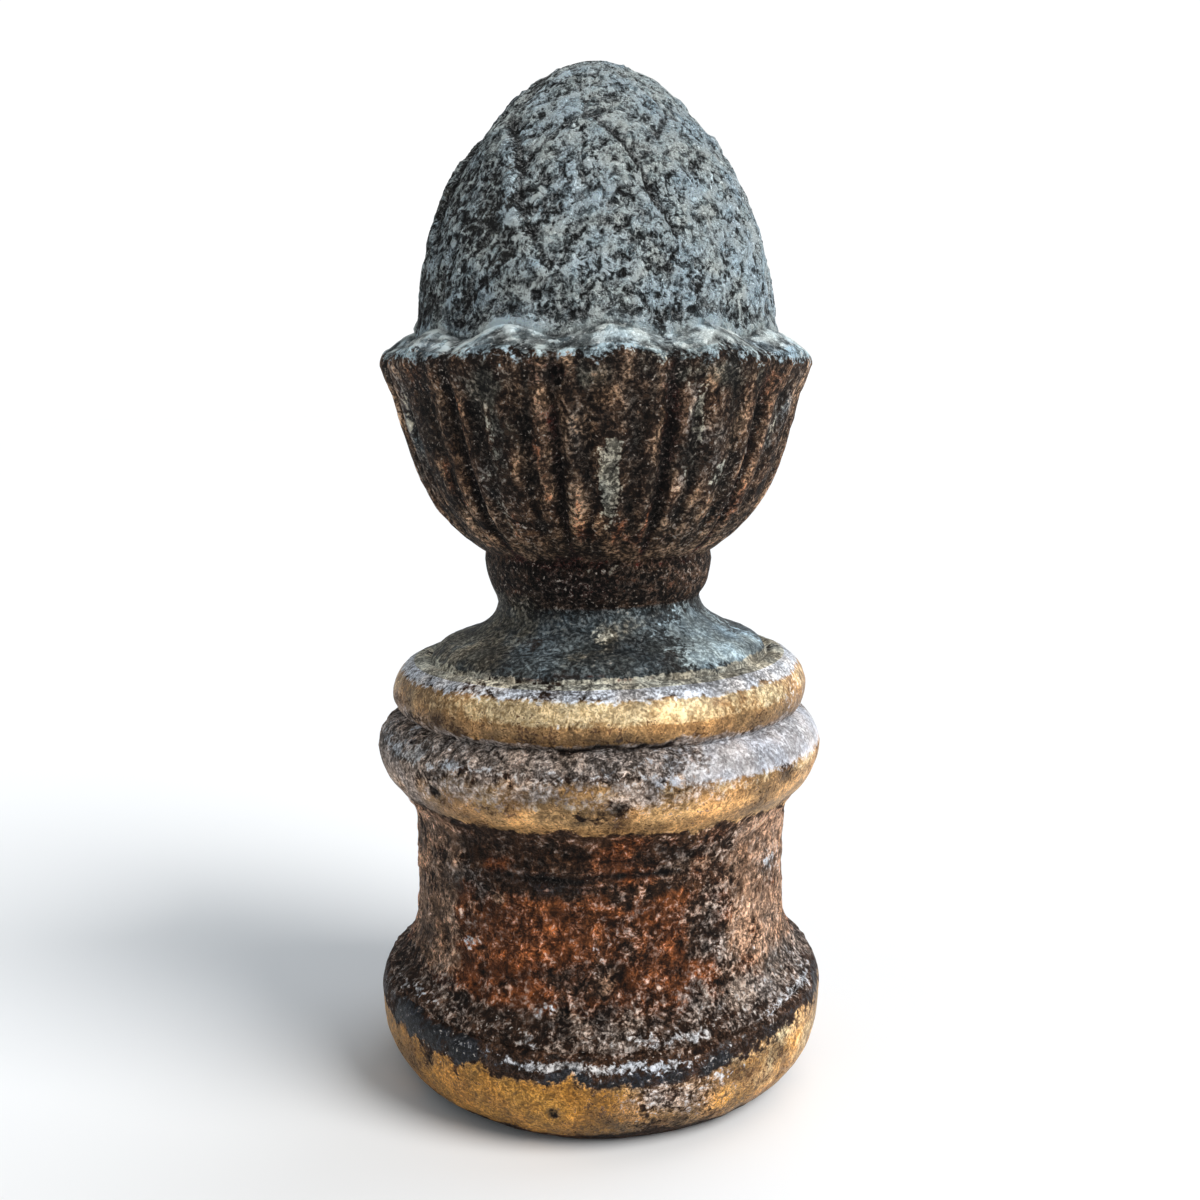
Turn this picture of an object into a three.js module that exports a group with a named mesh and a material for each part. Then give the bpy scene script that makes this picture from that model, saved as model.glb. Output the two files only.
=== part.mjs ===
// Acorn finial: a nut with overlapping petals in a scalloped cup, on a neck and a round moulded base.
// The whole finial is one casting. Millimetres, +Z up, with the origin at the middle of the flat underside.
import * as THREE from 'three';

// Heights over the underside
const baseTorusHeight = 21;
const grooveHeight = 28.2;
const drumBottom = 46.5;
const drumTop = 74.5;
const middleTorusHeight = 96;
const middleTorusTop = 105.2;
const upperTorusHeight = 112.3;
const footBottom = 120.1;
const neckHeight = 135.9;
const cupBottom = 149.8;
const rimHeight = 200.5;
const nutBottom = 208.4;
const nutWaist = 214;
const totalHeight = 281;

// Radii
const undersideRadius = 51;
const baseTorusRadius = 63.4;
const drumRadius = 52.3;
const middleTorusRadius = 62.6;
const upperTorusRadius = 58.2;
const footRadius = 47.6;
const neckRadius = 28.3;
const collarRadius = 31.8;
const rimRadius = 59.2;
const nutRadius = 48.4;

// Cup: tongue-shaped lobes with a deep valley between each two, and in each lobe a recess either side of a rib
const lobeCount = 12;
const lobeTurn = 4;
const valleyDepth = 3;
const recessDepth = 1.7;
const recessTop = 197;
const archRise = 8;
const carvingRunOut = 12;
const scallopRise = 2;
const scallopRunOut = 12;

// Widths and places across a lobe, as shares of half its width
const valleyWidth = 0.2;
const recessPlace = 0.46;
const recessWidth = 0.17;

// Nut: two rings of pointed petals, each petal over its right neighbour. A ring begins at its foot, parts
// into single petals at its notch height, and ends at its tip height. The upper ring lies sunk under the lower.
const petalCount = 8;
const petalTurn = - 5;
const upperTurn = petalTurn + 180 / petalCount;
const lowerRing = { foot: 217, notch: 241, tip: 262.5, turn: petalTurn, depth: 2.2, sunkFoot: 0, sunkTip: 0 };
const upperRing = { foot: 241, notch: 261, tip: 277, turn: upperTurn, depth: 1.6, sunkFoot: 2, sunkTip: 0.8 };
const petalEdge = 2;
const tipTaper = 14;

// Shape of a petal, as shares of half its width and of its thickness. The edge slope is half the width over
// which an edge falls away, the spread is how much wider the petal gets below its notches, and the lean is how
// much further its right edge stands out than its middle, and its left edge lies in.
const edgeSlope = 0.18;
const petalSpread = 0.7;
const petalMiddle = 0.3;
const petalLean = 0.5;
const petalPoint = 2.2;

// Shape of the nut: the first power rounds its waist and the second one its tip
const waistPower = 1.6;
const tipPower = 0.55;

// Hub of the underside's fan of faces: off the axis, so that the axis meets the inside of a face
const hubPlace = [ 8, 5, 0 ];

// Sides of the plain mouldings, and of the carved cup and nut
const plainSides = 48;
const carvedSides = 96;
const nutSteps = 17;
const nutSpacing = 1.3;
const tipSidesFrom = 271;

// Stretches of the outline, from the edge of the underside upwards. Each one ends at its radius and height.
// The bow is how far its middle stands out from the straight line, less than zero for a hollow.
const mouldings = [
	{ name: 'base torus, lower half', radius: baseTorusRadius, height: baseTorusHeight, bow: 3.4, steps: 4 },
	{ name: 'base torus, shoulder', radius: 61.9, height: grooveHeight - 0.9, bow: 0.7, steps: 2 },
	{ name: 'groove', radius: 60.7, height: grooveHeight, bow: 0, steps: 1 },
	{ name: 'lip of the cove', radius: 60.9, height: grooveHeight + 1.5, bow: 0.2, steps: 1 },
	{ name: 'cove', radius: drumRadius + 0.1, height: drumBottom, bow: - 1.6, steps: 4 },
	{ name: 'drum', radius: drumRadius - 0.2, height: drumTop, bow: - 0.2, steps: 2 },
	{ name: 'hollow under the middle torus', radius: 56, height: 83.7, bow: - 0.8, steps: 2 },
	{ name: 'middle torus, lower half', radius: middleTorusRadius, height: middleTorusHeight, bow: 1.5, steps: 4 },
	{ name: 'middle torus, upper half', radius: 55.2, height: middleTorusTop, bow: 1.7, steps: 4 },
	{ name: 'upper torus, lower half', radius: upperTorusRadius, height: upperTorusHeight, bow: 1.2, steps: 3 },
	{ name: 'upper torus, upper half', radius: 49.6, height: 120.9, bow: 2, steps: 4 },
	{ name: 'crease round the foot', radius: footRadius, height: footBottom, bow: 0, steps: 1 },
	{ name: 'edge of the foot', radius: 42.1, height: 125.6, bow: 0.9, steps: 2 },
	{ name: 'sweep of the foot', radius: 31.2, height: 130.8, bow: - 0.7, steps: 3 },
	{ name: 'hollow of the neck', radius: neckRadius, height: neckHeight, bow: - 0.6, steps: 2 },
	{ name: 'neck', radius: 29.5, height: 138.8, bow: - 0.2, steps: 1 },
	{ name: 'collar', radius: collarRadius, height: 147.4, bow: 0.5, steps: 2 },
	{ name: 'crease under the cup', radius: collarRadius - 0.3, height: cupBottom, bow: 0, steps: 1 },
	{ name: 'bowl of the cup', radius: 48.5, height: 168.4, bow: 1.95, steps: 4, carved: true },
	{ name: 'side of the cup', radius: 56.2, height: 192.6, bow: 0.65, steps: 4, carved: true },
	{ name: 'flare of the rim', radius: rimRadius, height: rimHeight, bow: 0.1, steps: 2, carved: true },
	{ name: 'edge of the rim', radius: 57.4, height: 204, bow: 0.5, steps: 1, carved: true },
	{ name: 'ledge inside the rim', radius: nutRadius, height: nutBottom, bow: 0.3, steps: 2, carved: true },
];

const degree = Math.PI / 180;
const { clamp, lerp, smoothstep } = THREE.MathUtils;

// Angles in degrees run from the front, which faces -Y, towards +X. This is how far an angle is from the
// middle of the nearest of so many equal parts: 0 at the middle, and -1 or 1 at the lines where two parts meet.
function acrossPart( angle, count, turn ) {

	const turns = ( angle - turn ) * count / 360;
	return 2 * ( turns - Math.round( turns ) );

}

function hill( distance, width ) {

	return Math.exp( - ( ( distance / width ) ** 2 ) );

}

// How far the cup is carved in: a valley where two lobes meet, and in each lobe two grooves joined by an arch
function cupCarving( angle, height ) {

	const across = Math.abs( acrossPart( angle, lobeCount, lobeTurn ) );
	const start = smoothstep( height, cupBottom, cupBottom + carvingRunOut );
	const end = 1 - smoothstep( height, rimHeight, nutBottom );
	const arch = Math.sqrt( clamp( ( recessTop - height ) / archRise, 0, 1 ) );
	const valley = valleyDepth * hill( 1 - across, valleyWidth );
	const groove = recessDepth * arch * hill( across - recessPlace * arch, recessWidth );
	return start * end * ( valley + groove );

}

// How far a lobe lifts the rim and the foot of the nut, and how far a valley lowers them
function scallop( angle, height ) {

	const across = acrossPart( angle, lobeCount, lobeTurn );
	const rise = smoothstep( height, rimHeight - archRise, nutBottom );
	const fade = 1 - smoothstep( height, nutBottom, nutBottom + scallopRunOut );
	return scallopRise * rise * fade * Math.cos( Math.PI * across );

}

// How far a ring of petals stands out at a place. A petal narrows from its notches to its tip, and it rises
// from its left edge to its right one, so that its right edge lies over the next petal.
function petals( ring, angle, height ) {

	const rise = clamp( ( height - ring.notch ) / ( ring.tip - ring.notch ), - 1, 1 );
	const width = rise > 0 ? 1 - rise ** petalPoint : 1 - petalSpread * rise;
	const lift = ring.depth * smoothstep( height, ring.foot, ring.notch );
	const sunk = lerp( ring.sunkFoot, ring.sunkTip, smoothstep( height, ring.foot, ring.tip ) );
	const nearest = acrossPart( angle, petalCount, ring.turn );
	const tops = [ - 2, 0, 2 ].map( ( shift ) => {

		const across = nearest + shift;
		const inside = smoothstep( width - Math.abs( across ), - edgeSlope, edgeSlope );
		return inside * ( petalEdge + lift * ( petalMiddle + petalLean * across ) ) - petalEdge;

	} );

	return Math.max( ...tops ) - sunk;

}

function nutCarving( angle, height, radius ) {

	const lower = petals( lowerRing, angle, height );
	const upper = height > upperRing.foot ? petals( upperRing, angle, height ) : - Infinity;
	return Math.max( lower, upper ) * clamp( radius / tipTaper, 0, 1 ) ** 2;

}

// Stations of the outline: each has a radius, a height and its number of sides
function bowedStations( from, moulding ) {

	const start = new THREE.Vector2( from.radius, from.height );
	const end = new THREE.Vector2( moulding.radius, moulding.height );
	const chord = end.clone().sub( start ).normalize();
	const outward = new THREE.Vector2( chord.y, - chord.x );
	const control = start.clone().add( end ).multiplyScalar( 0.5 ).addScaledVector( outward, 2 * moulding.bow );
	const curve = new THREE.QuadraticBezierCurve( start, control, end );
	const sides = moulding.carved ? carvedSides : plainSides;
	const points = curve.getPoints( moulding.steps ).slice( 1 );
	return points.map( ( point ) => ( { radius: point.x, height: point.y, sides } ) );

}

// The nut is a blunt ogive above its waist, and its stations come closer together towards the tip
function nutStations() {

	const stations = [];
	for ( let step = 1; step < nutSteps; step ++ ) {

		const height = lerp( totalHeight, nutBottom, ( 1 - step / nutSteps ) ** nutSpacing );
		const rise = clamp( ( height - nutWaist ) / ( totalHeight - nutWaist ), 0, 1 );
		const radius = nutRadius * ( 1 - rise ** waistPower ) ** tipPower;
		const sides = height < tipSidesFrom ? carvedSides : plainSides;
		stations.push( { radius, height, sides } );

	}

	return stations;

}

function outlineStations() {

	const stations = [ { radius: undersideRadius, height: 0, sides: plainSides } ];
	for ( const moulding of mouldings ) {

		stations.push( ...bowedStations( stations.at( - 1 ), moulding ) );

	}

	return [ ...stations, ...nutStations() ];

}

// Corner of the surface at a station and an angle, with its relief: how far the carving moves it out or in
function corner( station, angle ) {

	let relief = 0;
	let { height } = station;
	if ( station.height > cupBottom ) {

		relief -= cupCarving( angle, station.height );
		height += scallop( angle, station.height );

	}

	if ( station.height > nutBottom ) relief += nutCarving( angle, station.height, station.radius );
	const radius = station.radius + relief;
	const turn = angle * degree;
	return { place: [ radius * Math.sin( turn ), - radius * Math.cos( turn ), height ], relief };

}

// Faces between two rings of corners, where one ring may have twice as many as the other. Between equal rings
// four corners part along the diagonal whose ends have the most equal relief, so that edges follow the carving.
function bandFaces( lower, upper, reliefs ) {

	const sides = Math.min( lower.length, upper.length );
	const lowerStep = lower.length / sides;
	const upperStep = upper.length / sides;
	const faces = [];
	for ( let side = 0; side < sides; side ++ ) {

		const a = lower[ side * lowerStep ];
		const b = lower[ ( side + 1 ) * lowerStep % lower.length ];
		const c = upper[ side * upperStep ];
		const d = upper[ ( side + 1 ) * upperStep % upper.length ];
		const middle = upperStep > 1 ? upper[ 2 * side + 1 ] : lower[ 2 * side + 1 ];
		const parting = Math.abs( reliefs[ a ] - reliefs[ d ] ) - Math.abs( reliefs[ b ] - reliefs[ c ] );
		if ( upperStep > 1 ) faces.push( a, middle, c, a, b, middle, b, d, middle );
		else if ( lowerStep > 1 ) faces.push( a, middle, c, middle, d, c, middle, b, d );
		else if ( parting <= 0 ) faces.push( a, b, d, a, d, c );
		else faces.push( a, b, c, b, d, c );

	}

	return faces;

}

// Closed skin through the stations, with a fan over the underside and one at the tip
function finialGeometry() {

	const positions = [];
	const reliefs = [];
	const addCorner = ( { place, relief } ) => {

		reliefs.push( relief );
		return positions.push( ...place ) / 3 - 1;

	};

	const rings = outlineStations().map( ( station ) => Array.from(
		{ length: station.sides },
		( _, side ) => addCorner( corner( station, side * 360 / station.sides ) )
	) );
	const hub = addCorner( { place: hubPlace, relief: 0 } );
	const tip = addCorner( { place: [ 0, 0, totalHeight ], relief: 0 } );

	const faces = rings.slice( 1 ).flatMap( ( ring, index ) => bandFaces( rings[ index ], ring, reliefs ) );
	for ( let side = 0; side < plainSides; side ++ ) {

		const next = ( side + 1 ) % plainSides;
		faces.push( hub, rings[ 0 ][ next ], rings[ 0 ][ side ] );
		faces.push( rings.at( - 1 )[ side ], rings.at( - 1 )[ next ], tip );

	}

	const geometry = new THREE.BufferGeometry();
	geometry.setAttribute( 'position', new THREE.Float32BufferAttribute( positions, 3 ) );
	geometry.setIndex( faces );
	geometry.computeVertexNormals();
	return geometry;

}

const paintedIron = new THREE.MeshStandardMaterial( { color: 0x6e5a3c, roughness: 0.6, metalness: 0.2 } );

const finial = new THREE.Mesh( finialGeometry(), paintedIron );
finial.name = 'acorn_finial';

const group = new THREE.Group();
group.add( finial );

export default group;
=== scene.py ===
# %% [markdown]
# # An old painted acorn finial
# The finial is one casting: a nut with lapping petals in a scalloped cup, on a neck and a round moulded base.
# It has worn coats of slate, brick and gold paint. Each step says what the thing is, how it could be made,
# and why this way was chosen. Sizes in the tables are millimetres, and Blender's own are metres.

# %% Load the frame
import math
from collections import namedtuple

import bpy
import numpy as np
from mathutils import Matrix, Vector


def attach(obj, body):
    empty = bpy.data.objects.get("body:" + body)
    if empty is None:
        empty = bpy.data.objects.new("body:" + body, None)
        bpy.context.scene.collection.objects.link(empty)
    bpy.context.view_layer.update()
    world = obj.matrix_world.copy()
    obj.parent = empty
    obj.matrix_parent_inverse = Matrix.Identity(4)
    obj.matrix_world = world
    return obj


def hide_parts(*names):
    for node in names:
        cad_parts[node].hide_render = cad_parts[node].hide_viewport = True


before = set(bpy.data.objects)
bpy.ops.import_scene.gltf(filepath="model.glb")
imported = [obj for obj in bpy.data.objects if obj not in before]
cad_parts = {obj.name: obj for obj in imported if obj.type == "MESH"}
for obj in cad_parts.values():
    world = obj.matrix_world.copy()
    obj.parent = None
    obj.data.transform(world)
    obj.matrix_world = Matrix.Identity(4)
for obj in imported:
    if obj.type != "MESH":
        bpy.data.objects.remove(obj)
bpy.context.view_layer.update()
MM = 0.001

# %% [markdown]
# ## Camera
# The photograph is a hand-held close-up from a little above the middle of the finial: the rings of the base
# open into wide ellipses and those under the nut stay nearly flat. A long lens further off could never show
# both, so the camera stands as near as those ellipses say, tips down and leans by half a degree.

# %% Camera
def show(name, data):
    """A new object in the scene, made of the given data."""
    made = bpy.data.objects.new(name, data)
    bpy.context.collection.objects.link(made)
    return made


CAMERA_DISTANCE = 0.3930
CAMERA_HEIGHT = 0.1937
CAMERA_PITCH = math.radians(8.5)
CAMERA_ROLL = math.radians(0.46)
SENSOR_WIDTH = 36.0
LENS = 42.0
FRAME_SHIFT = 0.0013

camera_data = bpy.data.cameras.new("camera")
camera_data.sensor_width, camera_data.lens, camera_data.shift_x = SENSOR_WIDTH, LENS, FRAME_SHIFT
camera = show("camera", camera_data)
camera.matrix_world = (
    Matrix.Translation((0, -CAMERA_DISTANCE, CAMERA_HEIGHT))
    @ Matrix.Rotation(math.pi / 2 - CAMERA_PITCH, 4, "X")
    @ Matrix.Rotation(-CAMERA_ROLL, 4, "Z")
)
bpy.context.scene.camera = camera
print("camera at", np.round(camera.matrix_world.translation, 3))

# %% [markdown]
# ## Node helpers
# Materials here are built in code, so small helpers keep that short: they put in a node and join up its
# inputs, do a sum, lay a colour over another or scale it. Nodes clicked together by hand would not come out
# the same every time.

# %% Node helpers
def put(net, kind, inputs=None, **settings):
    """A new shader node with its settings. Each input is given a value or another node's output."""
    node = net.nodes.new("ShaderNode" + kind)
    for name, value in settings.items():
        setattr(node, name, value)
    for key, value in (inputs or {}).items():
        if isinstance(value, bpy.types.NodeSocket):
            net.links.new(value, node.inputs[key])
        else:
            node.inputs[key].default_value = value
    return node


def calc(net, operation, first, second=0.0, third=0.0, clamp=False):
    """The result of one sum on numbers or outputs."""
    inputs = {0: first, 1: second, 2: third}
    return put(net, "Math", inputs, operation=operation, use_clamp=clamp).outputs[0]


def times(net, value, gain, start=0.0, clamp=False):
    """A value times a gain, plus a start."""
    return calc(net, "MULTIPLY_ADD", value, gain, start, clamp)


def lay(net, share, below, above):
    """The colour that shows when a share of the one above covers the one below."""
    return put(net, "Mix", {0: share, 6: below, 7: above}, data_type="RGBA").outputs[2]


def scaled(net, shade, share):
    """A colour or a vector times a factor."""
    return put(net, "VectorMath", {0: shade, "Scale": share}, operation="SCALE").outputs[0]


def colour(code):
    """A linear colour from a hex code as painters' charts give it."""
    parts = [int(code[i:i + 2], 16) / 255 for i in (1, 3, 5)]
    return (*[p / 12.92 if p < 0.04045 else ((p + 0.055) / 1.055) ** 2.4 for p in parts], 1.0)


print("gold paint is", np.round(colour("#bf9663")[:3], 3))

# %% [markdown]
# ## Floor and light
# A plain pale floor under a pale sky stands for a studio table in a light tent. The main light is soft and
# comes from the upper right in front, as the bright right sides of the nut and the rings show. It is a sun
# with a wide disc, because that lights the floor evenly to the horizon, where a near lamp would not.

# %% Floor and light
SKY_LIGHT = 0.42
SKY_SEEN = 1.05
SKY_TINT = (0.90, 0.96, 1.0, 1)
WHITE = (1, 1, 1, 1)
FLOOR_RADIUS = 12.0
FLOOR_SIDES = 96
FLOOR_GREY = (0.86, 0.86, 0.86, 1)


def floor_disc():
    """A flat disc: corners at equal angles on one circle, as a single face."""
    turns = np.linspace(0, 2 * np.pi, FLOOR_SIDES, endpoint=False)
    corners = np.stack([FLOOR_RADIUS * np.cos(turns), FLOOR_RADIUS * np.sin(turns), 0 * turns], 1)
    mesh = bpy.data.meshes.new("floor")
    mesh.from_pydata(corners.tolist(), [], [list(range(FLOOR_SIDES))])
    return show("floor", mesh)


def add_sun(name, towards, strength, disc, tint):
    """A sun that shines from the given direction, with a disc of so many degrees."""
    data = bpy.data.lights.new(name, "SUN")
    data.energy, data.angle, data.color = strength, math.radians(disc), tint
    show(name, data).rotation_euler = Vector(towards).to_track_quat("Z", "Y").to_euler()


floor = floor_disc()
floor_paint = bpy.data.materials.new("pale_floor")
floor_paint.use_nodes = True
floor_shader = floor_paint.node_tree.nodes["Principled BSDF"].inputs
floor_shader["Base Color"].default_value = FLOOR_GREY
floor_shader["Roughness"].default_value = 0.9
floor_shader["Specular IOR Level"].default_value = 0.1
floor.data.materials.append(floor_paint)

world = bpy.data.worlds.new("pale_sky")
world.use_nodes = True
sky = world.node_tree
sky_seen = put(sky, "LightPath").outputs["Is Camera Ray"]
sky_shader = sky.nodes["Background"].inputs
sky.links.new(lay(sky, sky_seen, SKY_TINT, WHITE), sky_shader["Color"])
sky.links.new(times(sky, sky_seen, SKY_SEEN - SKY_LIGHT, SKY_LIGHT), sky_shader["Strength"])
bpy.context.scene.world = world
add_sun("window_light", (0.95, -0.6, 1.0), 3.0, 34, (1.0, 0.985, 0.97))
add_sun("back_light", (0.75, 0.75, 0.8), 1.1, 60, (0.86, 0.92, 1.0))
bpy.context.scene.view_settings.view_transform = "Standard"
print("floor", FLOOR_RADIUS, "m, with", len(bpy.data.lights), "suns")

# %% [markdown]
# ## Outline
# The finial is round, so its shape begins as an outline: stretches that each end at a radius and a height,
# with a bow that says how far the middle of the stretch swells out or is hollowed in. A lathe profile drawn
# by eye would do too, but these are the solid's own numbers, so the dressed piece keeps to it. The rows are
# about a millimetre and a half apart, closer where the carving is fine.

# %% Outline
UNDERSIDE_RADIUS = 51.0
CUP_BOTTOM = 149.8
RIM_HEIGHT = 200.5
NUT_BOTTOM = 208.4
NUT_WAIST = 214.0
NUT_RADIUS = 48.4
TOTAL_HEIGHT = 281.0
ROWS, FINE = 1.42, 1.2  # pitches of the rows
CURVE_SAMPLES = 40
WAIST_POWER = 1.6
TIP_POWER = 0.55

MOULDINGS = [
    # name, radius, height, bow, pitch
    ("base torus, lower half", 63.4, 21.0, 3.4, ROWS),
    ("base torus, shoulder", 61.9, 27.3, 0.7, ROWS),
    ("groove", 60.7, 28.2, 0.0, FINE / 2),
    ("lip of the cove", 60.9, 29.7, 0.2, FINE / 2),
    ("cove", 52.4, 46.5, -1.6, ROWS),
    ("drum", 52.1, 74.5, -0.2, ROWS),
    ("hollow under the middle torus", 56.0, 83.7, -0.8, FINE),
    ("middle torus, lower half", 62.6, 96.0, 1.5, ROWS),
    ("middle torus, upper half", 55.2, 105.2, 1.7, ROWS),
    ("upper torus, lower half", 58.2, 112.3, 1.2, FINE),
    ("upper torus, upper half", 49.6, 120.9, 2.0, ROWS),
    ("crease round the foot", 47.6, 120.1, 0.0, FINE / 2),
    ("edge of the foot", 42.1, 125.6, 0.9, ROWS),
    ("sweep of the foot", 31.2, 130.8, -0.7, ROWS),
    ("hollow of the neck", 28.3, 135.9, -0.6, ROWS),
    ("neck", 29.5, 138.8, -0.2, ROWS),
    ("collar", 31.8, 147.4, 0.5, ROWS),
    ("crease under the cup", 31.5, 149.8, 0.0, FINE),
    ("bowl of the cup", 48.5, 168.4, 1.95, ROWS),
    ("side of the cup", 56.2, 192.6, 0.65, ROWS),
    ("flare of the rim", 59.2, 200.5, 0.1, FINE),
    ("edge of the rim", 57.4, 204.0, 0.5, FINE / 2),
    ("ledge inside the rim", 48.4, 208.4, 0.3, FINE),
]


def bowed_curve(start, end, bow):
    """A quadratic curve from start to end whose middle stands off the straight line by the bow: it is (1-t)^2
    start + 2t(1-t) control + t^2 end, with the control point at twice the bow from the line's middle."""
    start, end = np.array(start), np.array(end)
    along = (end - start) / np.hypot(*(end - start))
    control = (start + end) / 2 + 2 * bow * np.array([along[1], -along[0]])
    t = np.linspace(0, 1, CURVE_SAMPLES + 1)[:, None]
    return (1 - t) ** 2 * start + 2 * t * (1 - t) * control + t ** 2 * end


def nut_curve():
    """A blunt ogive: radius = nut radius x (1 - rise^waist power)^tip power, with rise from 0 at the waist to
    1 at the tip. The samples lie closer near the tip."""
    left = 1 - np.linspace(0, 1, 4 * CURVE_SAMPLES)
    height = NUT_BOTTOM + (TOTAL_HEIGHT - NUT_BOTTOM) * (1 - left ** 2)
    rise = np.clip((height - NUT_WAIST) / (TOTAL_HEIGHT - NUT_WAIST), 0, 1)
    return np.stack([NUT_RADIUS * (1 - rise ** WAIST_POWER) ** TIP_POWER, height], 1)


def even_rows(curve, pitch):
    """Points along a curve at equal steps of about the pitch, without the first one."""
    run = np.hstack([[0], np.cumsum(np.hypot(*np.diff(curve, axis=0).T))])
    steps = np.linspace(0, run[-1], max(2, round(run[-1] / pitch) + 1))[1:]
    return np.stack([np.interp(steps, run, curve[:, 0]), np.interp(steps, run, curve[:, 1])], 1)


def outline_rows():
    """Every row of the outline from the edge of the underside to just under the tip, as radius and height."""
    rows = [np.array([[UNDERSIDE_RADIUS, 0.0]])]
    for _, radius, height, bow, pitch in MOULDINGS:
        rows.append(even_rows(bowed_curve(rows[-1][-1], (radius, height), bow), pitch))
    rows.append(even_rows(nut_curve(), FINE)[:-1])
    return np.vstack(rows)


outline = outline_rows()
slope = np.gradient(outline, axis=0)
slope /= np.hypot(*slope.T)[:, None]
OUTWARD = np.stack([slope[:, 1], -slope[:, 0]], 1)
print(len(outline), "rows from", outline[0], "to", outline[-1].round(2))

# %% [markdown]
# ## Grid of places
# Every point of the skin is a row of the outline and a column round the axis. The angle is 0 at the front and
# grows to the right, which is how the marks on the photograph were read off, so carving, chips and patches
# can all be placed by an angle and a height. Sculpting by hand would be quicker to start, but couldn't be
# rerun.

# %% Grid of places
COLUMNS = 352
LATTICE = 64
angle = (np.arange(COLUMNS) * 360.0 / COLUMNS + 180) % 360 - 180
ANGLE = np.broadcast_to(angle, (len(outline), COLUMNS))
RADIUS = np.broadcast_to(outline[:, :1], ANGLE.shape)
HEIGHT = np.broadcast_to(outline[:, 1:], ANGLE.shape)
TURN = np.radians(ANGLE)
PLACE = np.stack([RADIUS * np.sin(TURN), -RADIUS * np.cos(TURN), HEIGHT], -1)


def smooth(low, high, value):
    """0 below low, 1 above high, and the smooth step 3t^2 - 2t^3 between them."""
    t = np.clip((value - low) / (high - low), 0, 1)
    return t * t * (3 - 2 * t)


def turned(degrees):
    """Angles brought between -180 and 180 degrees."""
    return (degrees + 180) % 360 - 180


def band(low, high, soft=1.0, heights=HEIGHT):
    """1 between two heights, fading over so many millimetres."""
    return smooth(low - soft, low + soft, heights) * (1 - smooth(high - soft, high + soft, heights))


def side(left, right, soft=8.0, angles=ANGLE):
    """1 between two angles, fading over so many degrees."""
    off = np.abs(turned(angles - (left + right) / 2)) - (right - left) / 2
    return 1 - smooth(-soft, soft, off)


def spot(at_angle, at_height, half_angle, half_height, angles=ANGLE, heights=HEIGHT):
    """A round mark: 1 in its middle and falling off as a bell, exp(-distance^2) in half widths."""
    across = turned(angles - at_angle) / half_angle
    return np.exp(-across ** 2 - ((heights - at_height) / half_height) ** 2)


def lumps(size, seed, places=PLACE):
    """Smooth random lumps between -1 and 1: random numbers on a lattice of that many millimetres, blended
    with the smooth step in three directions."""
    table = np.random.default_rng(seed).uniform(-1, 1, (LATTICE, LATTICE, LATTICE))
    reach = places / size + LATTICE / 2
    cell = np.floor(reach).astype(int)
    part = reach - cell
    part = part * part * (3 - 2 * part)
    total = 0
    for corner in np.ndindex(2, 2, 2):
        share = np.prod(np.where(corner, part, 1 - part), -1)
        x, y, z = np.moveaxis((cell + corner) % LATTICE, -1, 0)
        total += share * table[x, y, z]
    return total


def rough(size, seed, octaves=3, stretch=(1, 1, 1)):
    """Lumps with finer and lower lumps on them: each octave has half the size and half the height. A stretch
    below 1 draws the lumps out along that axis."""
    places = PLACE * np.array(stretch)
    return sum(lumps(size / 2 ** k, seed + k, places) / 2 ** k for k in range(octaves))


print("grid of", ANGLE.size, "points")

# %% [markdown]
# ## Carving
# The cup has twelve tongue-shaped lobes with deep valleys between them, and in each lobe two grooves that
# meet in an arch under the rim. The nut has two rings of eight petals. Each petal lies over its right
# neighbour, so it rises from its left edge to its right one and ends there in a clear step. Where the nut
# stands on the ledge of the cup, paint has filled the corner with a fillet. Booleans would leave hard knife
# edges. Here the carving is a depth at each place, which wears as softly as the real casting.

# %% Carving
LOBES = 12
LOBE_TURN = 4.0
VALLEY_DEPTH = 2.2
VALLEY_WIDTH = 0.15
GROOVE_DEPTH = 1.2
GROOVE_WIDTH = 0.17
GROOVE_PLACE = 0.44
GROOVE_TOP = 197.2
ARCH_RISE = 7.0
SCALLOP_RISE = 1.5
RUN_OUT = 12.0
FILLET = 1.3
FILLET_SPREAD = 2.6
PETALS = 8
PETAL_TURN = -5.0
PETAL_POINT = 2.2
PETAL_SPREAD = 0.75
TIP_TAPER = 14.0


def across_part(count, turn):
    """How far each place is from the middle of the nearest of so many equal parts, from -1 to 1."""
    turns = (ANGLE - turn) * count / 360
    return 2 * (turns - np.round(turns))


def cup_carving():
    """Depth of the valleys and grooves: bells across the lobe, running out at the cup's foot and on the
    rim."""
    across = np.abs(across_part(LOBES, LOBE_TURN))
    start = smooth(CUP_BOTTOM, CUP_BOTTOM + RUN_OUT, HEIGHT)
    end = (1 - 0.5 * smooth(186, 199, HEIGHT)) * (1 - smooth(RIM_HEIGHT, NUT_BOTTOM, HEIGHT))
    arch = np.sqrt(np.clip((GROOVE_TOP - HEIGHT) / ARCH_RISE, 0, 1))
    valley = VALLEY_DEPTH * np.exp(-((1 - across) / VALLEY_WIDTH) ** 2)
    groove = GROOVE_DEPTH * arch * np.exp(-((across - GROOVE_PLACE * arch) / GROOVE_WIDTH) ** 2)
    return start * end * (valley + groove)


def scallop():
    """How far each lobe lifts the rim and the foot of the nut: a cosine across the lobe."""
    rise = smooth(RIM_HEIGHT - 3.0, NUT_BOTTOM, HEIGHT)
    fade = 1 - smooth(NUT_BOTTOM, NUT_BOTTOM + RUN_OUT, HEIGHT)
    return SCALLOP_RISE * rise * fade * np.cos(np.pi * across_part(LOBES, LOBE_TURN))


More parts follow.
